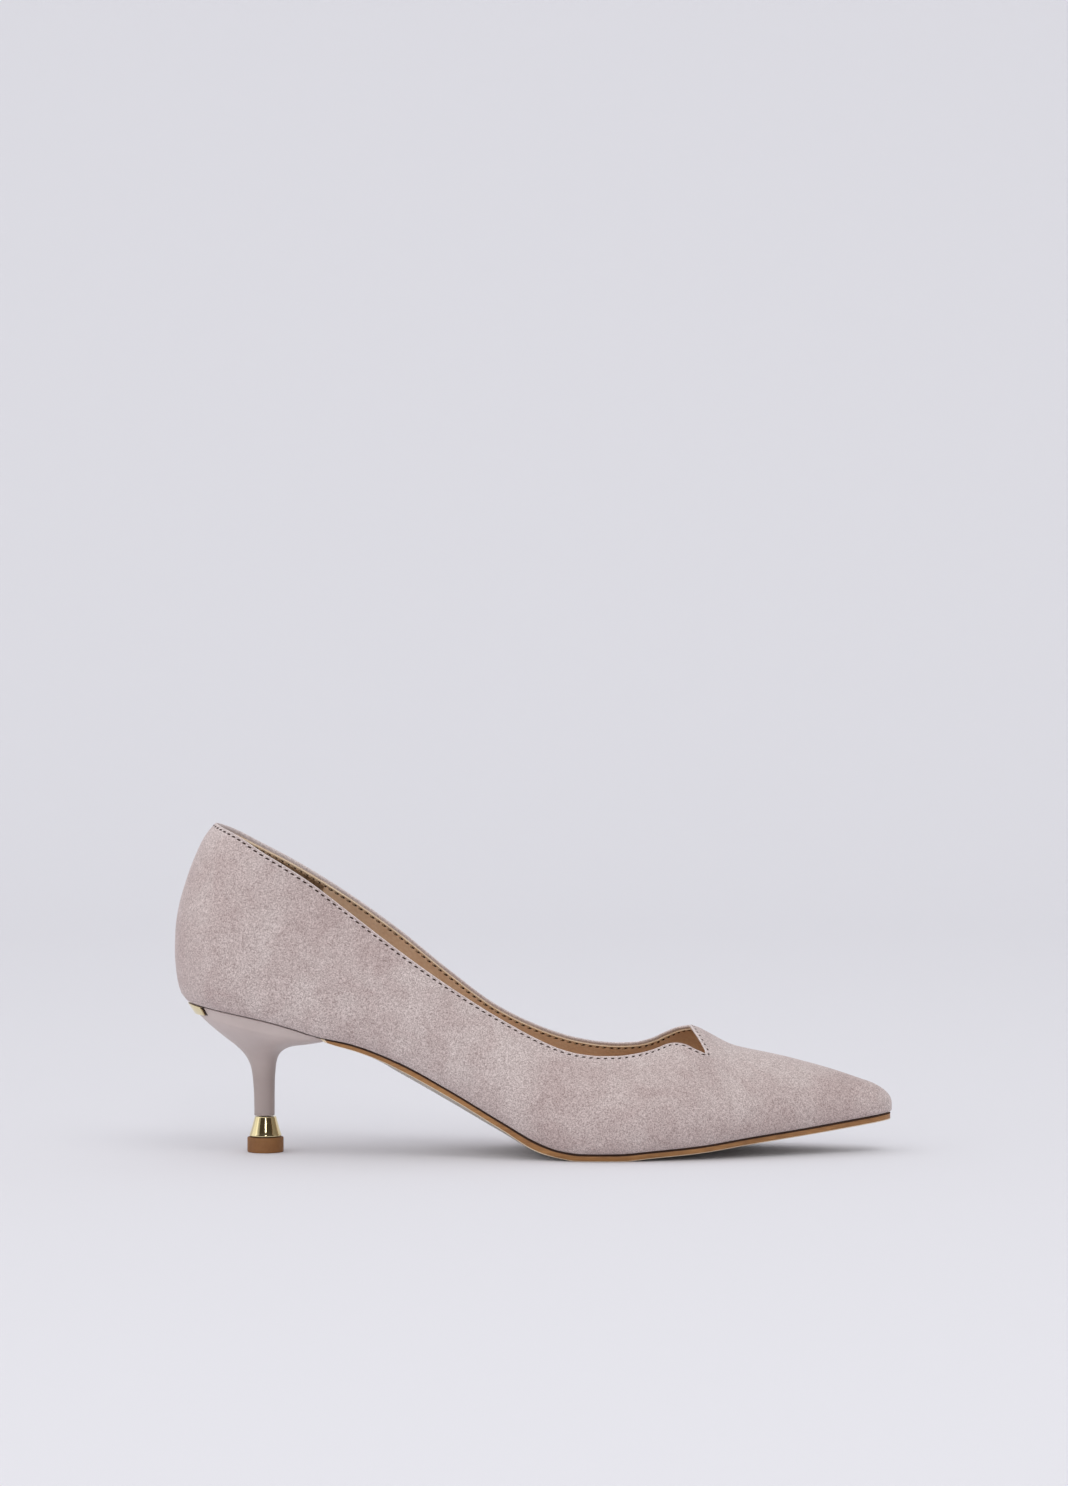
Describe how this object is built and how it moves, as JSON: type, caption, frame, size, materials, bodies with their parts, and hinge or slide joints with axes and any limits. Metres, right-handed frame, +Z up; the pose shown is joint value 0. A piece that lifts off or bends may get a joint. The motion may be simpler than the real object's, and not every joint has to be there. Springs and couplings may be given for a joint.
{
  "type": "kitten heel pump",
  "caption": "Pointed pump with a slim low heel, a metal heel collar and a notched topline; stands empty on sole and heel tip.",
  "frame": {"origin": "on the floor, under the middle of the shoe's length and width", "axes": "+X to the toe, +Y to the inner side of the foot, +Z up"},
  "size_m": [0.2582, 0.077, 0.1186],
  "materials": {
    "suede": "mauve suede with a short nap",
    "lining": "smooth tan leather",
    "sole": "brown polished edge, pale tread",
    "heel_cover": "satin mauve",
    "gold": "polished pale gold",
    "heel_tip": "brown rubber"
  },
  "bodies": {
    "root": {"upper": "suede", "insole": "lining", "outsole": "sole", "heel": "heel_cover", "heel_collar": "gold", "back_plate": "gold", "top_piece": "heel_tip"}
  },
  "joints": []
}
